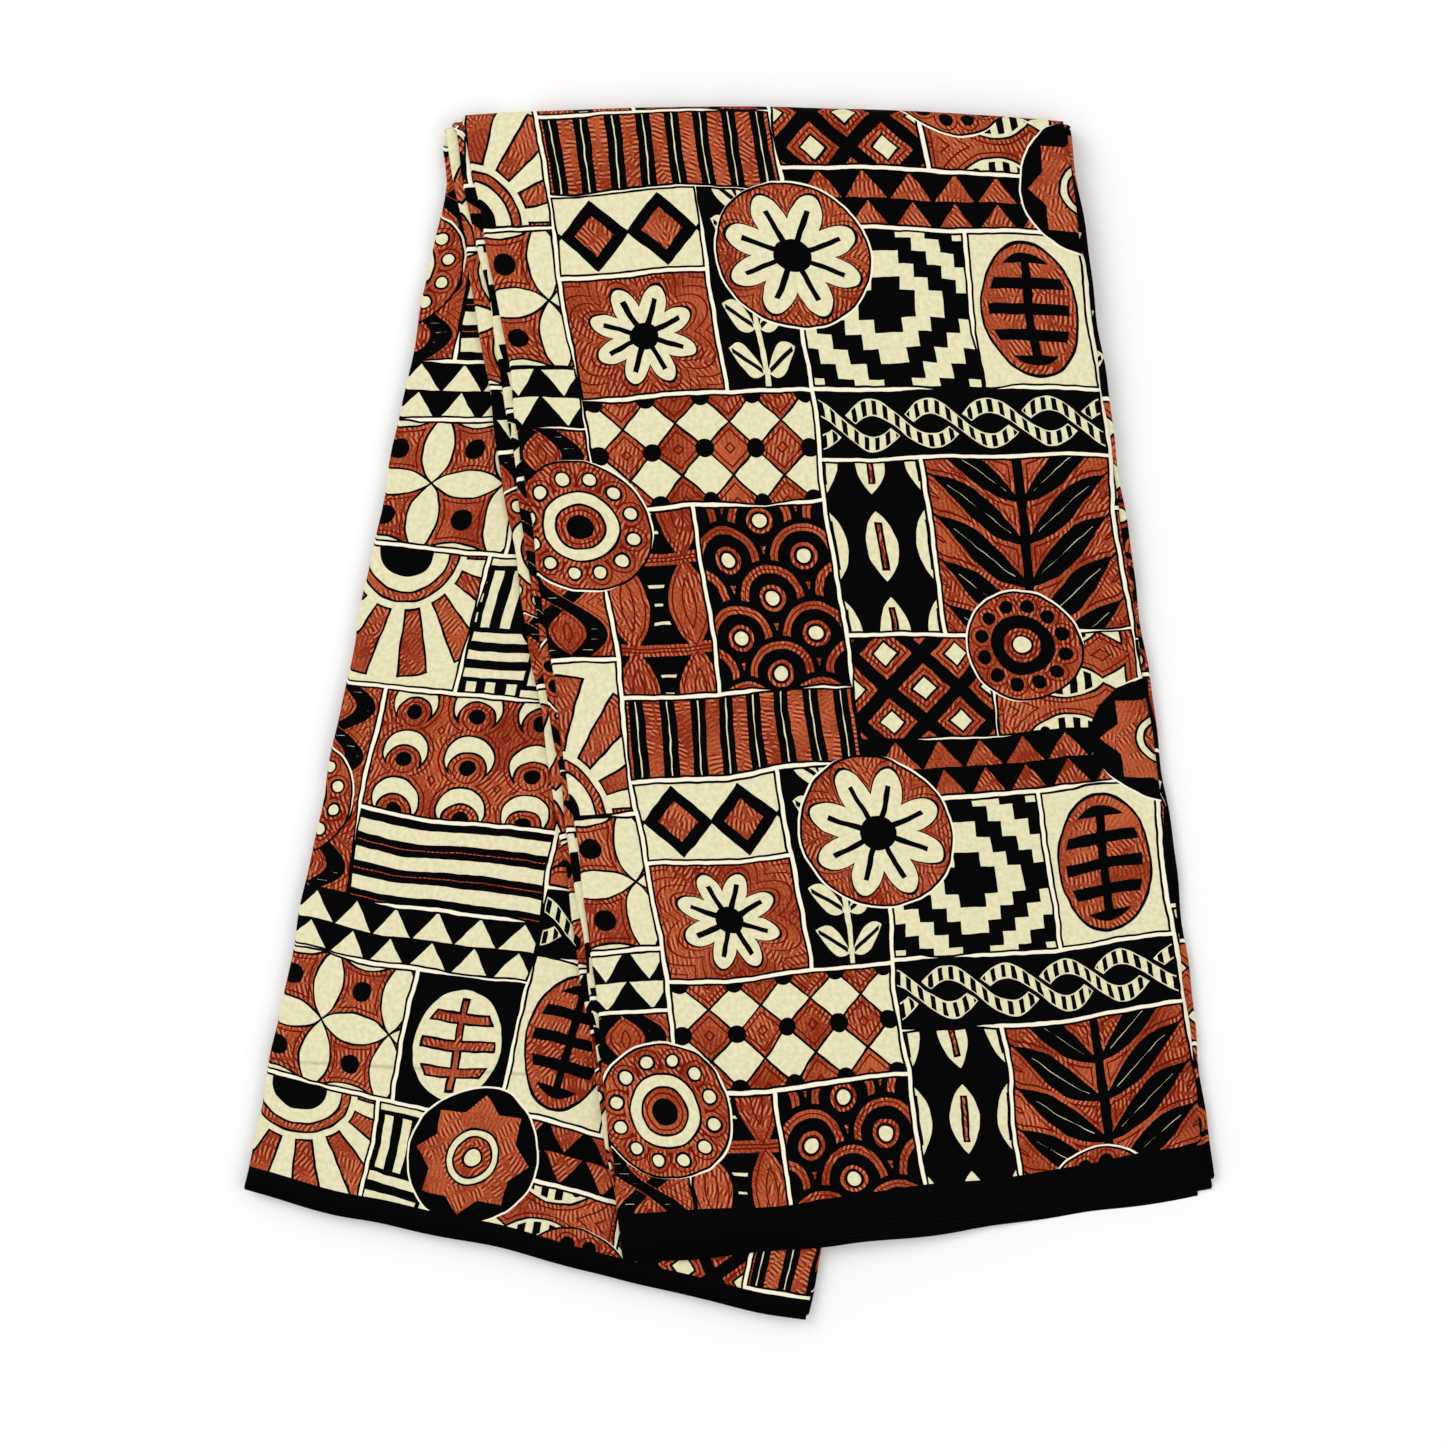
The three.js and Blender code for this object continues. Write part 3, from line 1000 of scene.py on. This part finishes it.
def rust_ink(tree, flat, turned, echo):
    """Rust in rows of short ticks of the pen, which turn from one small area to the next and leave some areas
    almost plain, with cut lines over them."""
    areas = tree.nodes.new("ShaderNodeTexVoronoi")
    areas.voronoi_dimensions = "2D"
    areas.inputs["Scale"].default_value = 1 / AREA_SIZE
    join(tree, flat, areas.inputs["Vector"])
    lean, fullness, _ = separate(Number(tree, areas.outputs["Color"]))
    angle = (turned + (lean - 0.5) * AREA_LEAN) * (math.pi / 2)
    x, y, _ = separate(flat)
    along = x * angle.math("COSINE") + y * sine(angle)
    across = y * angle.math("COSINE") - x * sine(angle)

    # The ticks are uneven, broken off here and there, and faint in some areas
    _, shake = noise(flat, SHAKE)
    shake_x, shake_y, shake_z = separate(shake)
    stroke = sine(along * (2 * math.pi / TICK_PITCH) + shake_x * PITCH_SHAKE)
    row = held((HALF_TICK - near(across + shake_y * ROW_SHAKE, TICK_ROW)) * TICK_TAPER)
    ticks = row * ramp(shake_z, **TICK_GAPS) * choose(fullness < FAINT_AREAS, 1.0, FAINT)

    # The rust between deep and middle, the pale between the ticks, and then the ticks and the cut lines
    slow, _ = noise(flat, SLOW_DEPTH, SLOW_DEPTH_DETAIL)
    fine, _ = noise(flat, FINE_DEPTH)
    slow_tone = (slow - SLOW_TONE["start"]) * SLOW_TONE["slope"]
    fine_tone = (fine - FINE_TONE["start"]) * FINE_TONE["slope"]
    base = mix(tree, "RGBA", held(slow_tone + fine_tone), RUST_DEEP, RUST_MIDDLE)
    pale = held(stroke + PALE_TONE["start"]) * ticks * PALE_TONE["strength"]
    light = mix(tree, "RGBA", pale, base, RUST_PALE)
    dark = ramp(stroke * -1, **DARK_TONE) * ticks * DARK_STRENGTH
    return mix(tree, "RGBA", most(dark, echo), light, RUST_CUT)


def in_selvedge(flat_x, flat_y):
    """1 in the black band along each selvedge, which swells from one panel to the next."""
    swell = sine(flat_x * (math.pi / PANEL_WIDTH) + math.pi / 2)
    front = flat_y < swell * FRONT_BAND["swell"] + FRONT_BAND["width"]
    back = flat_y > swell * BACK_BAND["swell"] + (CLOTH_WIDTH - BACK_BAND["width"])
    return most(front, back)


def printed_cotton():
    """Plain woven cotton with the print, which lies where the flat cloth has it."""
    material = bpy.data.materials.new("printed_cotton")
    material.use_nodes = True
    tree = material.node_tree
    shader = tree.nodes["Principled BSDF"]
    uv = tree.nodes.new("ShaderNodeUVMap")
    uv.uv_map = "cloth"
    flat = vector_math(tree, "SCALE", Number(tree, uv.outputs[0]))
    flat.socket.node.inputs["Scale"].default_value = 1 / MM
    flat_x, flat_y, _ = separate(flat)
    slow_move, slow = wobble(flat, **SLOW_WOBBLE)
    quick_move, quick = wobble(flat, **QUICK_WOBBLE)
    place = vector_math(tree, "ADD", vector_math(tree, "ADD", flat, slow_move), quick_move)
    _, _, slow_z = separate(slow)
    _, _, quick_z = separate(quick)

    here, size, inks, edge = patch_at(tree, place)
    figure, accent, turned = motif_at(tree, here, size)
    ground_ink, figure_ink, accent_ink = separate(inks)
    ink = choose(figure < 0.0, ground_ink, figure_ink)
    ink = choose(accent < 0.0, ink, accent_ink)
    pen = quick_z * OUTLINE_SWING + (OUTLINE - OUTLINE_SWING / 2)
    outline = least(abs(accent), most(abs(figure), accent * -1))  # a figure's line stops at its accent
    ink = choose(outline < pen, ink, float(BLACK))
    gutter = ramp(slow_z, **GUTTER_FADE) * GUTTER
    echo = (near(figure - ECHO / 2, ECHO) < HALF_ECHO_LINE) * (figure > ECHO_START)

    is_rust = is_number(ink, RUST)
    colour = mix(tree, "RGBA", is_rust, cream_ink(tree, flat), rust_ink(tree, flat, turned, echo))
    is_black = most(is_number(ink, BLACK), edge < gutter + KEYLINE)
    colour = mix(tree, "RGBA", is_black, colour, BLACK_INK)
    colour = mix(tree, "RGBA", edge < gutter, colour, GUTTER_CREAM)
    colour = mix(tree, "RGBA", in_selvedge(flat_x, flat_y), colour, BLACK_INK)
    join(tree, colour, shader.inputs["Base Color"])
    join(tree, slow_z * ROUGHNESS_SWING + ROUGHNESS, shader.inputs["Roughness"])
    shader.inputs["Specular IOR Level"].default_value = GLOSS

    bump = tree.nodes.new("ShaderNodeBump")
    bump.inputs["Strength"].default_value = WEAVE_STRENGTH
    bump.inputs["Distance"].default_value = WEAVE_DEPTH * MM
    join(tree, wave(flat_x, WARP_PITCH) * wave(flat_y, WEFT_PITCH), bump.inputs["Height"])
    tree.links.new(bump.outputs[0], shader.inputs["Normal"])
    return material


def make_cloth():
    cloth = bpy.data.objects.new("folded_print_cloth", cloth_mesh())
    bpy.context.collection.objects.link(cloth)
    cloth.data.materials.append(printed_cotton())
    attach(cloth, "root")
    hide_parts("folded_cloth")


def make_floor():
    mesh = bpy.data.meshes.new("floor")
    corners = [(x * FLOOR_HALF, y * FLOOR_HALF, -FLOOR_GAP) for x, y in ((-1, -1), (1, -1), (1, 1), (-1, 1))]
    mesh.from_pydata(corners, [], [(0, 1, 2, 3)])
    ground = bpy.data.objects.new("floor", mesh)
    bpy.context.collection.objects.link(ground)
    paper = bpy.data.materials.new("floor_paper")
    paper.use_nodes = True
    shader = paper.node_tree.nodes["Principled BSDF"]
    shader.inputs["Base Color"].default_value = (FLOOR_WHITE, FLOOR_WHITE, FLOOR_WHITE, 1)
    shader.inputs["Roughness"].default_value = FLOOR_ROUGHNESS
    shader.inputs["Specular IOR Level"].default_value = FLOOR_GLOSS
    mesh.materials.append(paper)


def make_window(name, place, size, power):
    """A round soft light that faces the cloth."""
    data = bpy.data.lights.new(name, "AREA")
    data.shape = "DISK"
    data.size = size
    data.energy = power
    light = bpy.data.objects.new(name, data)
    bpy.context.collection.objects.link(light)
    light.location = place
    light.rotation_mode = "QUATERNION"
    towards = -light.location
    light.rotation_quaternion = towards.to_track_quat("-Z", "Y")


def make_room_light():
    world = bpy.data.worlds.new("studio")
    world.use_nodes = True
    background = world.node_tree.nodes["Background"]
    background.inputs["Color"].default_value = (1, 1, 1, 1)
    background.inputs["Strength"].default_value = ROOM_LIGHT
    bpy.context.scene.world = world
    bpy.context.scene.view_settings.view_transform = "Standard"


def make_camera():
    """Straight above the cloth, at the height from which its top fills the picture's width."""
    data = bpy.data.cameras.new("camera")
    data.lens = LENS
    data.sensor_width = SENSOR
    camera = bpy.data.objects.new("camera", data)
    bpy.context.collection.objects.link(camera)
    rise = PICTURE_WIDTH / SENSOR * LENS
    camera.location = (*PICTURE_CENTRE, rise + MIDDLE * MM)
    bpy.context.scene.camera = camera


make_cloth()
make_floor()
for window in WINDOWS:
    make_window(**window)
make_room_light()
make_camera()
